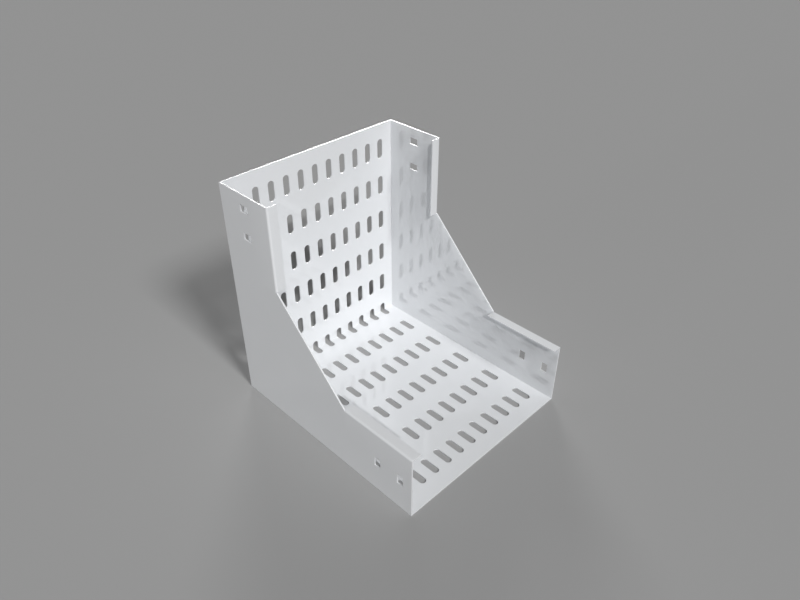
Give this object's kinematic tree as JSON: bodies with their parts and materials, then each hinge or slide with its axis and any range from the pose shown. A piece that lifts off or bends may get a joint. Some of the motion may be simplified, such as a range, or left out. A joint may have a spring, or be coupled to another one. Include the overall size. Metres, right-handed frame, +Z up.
{
  "type": "cable tray vertical elbow",
  "caption": "Slotted sheet-metal elbow that turns a level cable tray run up a wall, with a folded bottom, slanting inside edges on its sides and turned-in lips at the open ends.",
  "frame": {"origin": "middle of the footprint, on the floor under the horizontal leg", "axes": "+X across the tray, -Y out of the open end of the floor leg, +Y the back of the rising leg, +Z up and out of its open end"},
  "size_m": [0.3, 0.34, 0.34],
  "materials": {
    "bottom_coat": "white gloss powder coat on steel sheet",
    "side_coat": "white gloss powder coat on steel sheet"
  },
  "bodies": {
    "root": {"bottom_plate": "bottom_coat", "left_side_plate": "side_coat", "right_side_plate": "side_coat"}
  },
  "joints": []
}
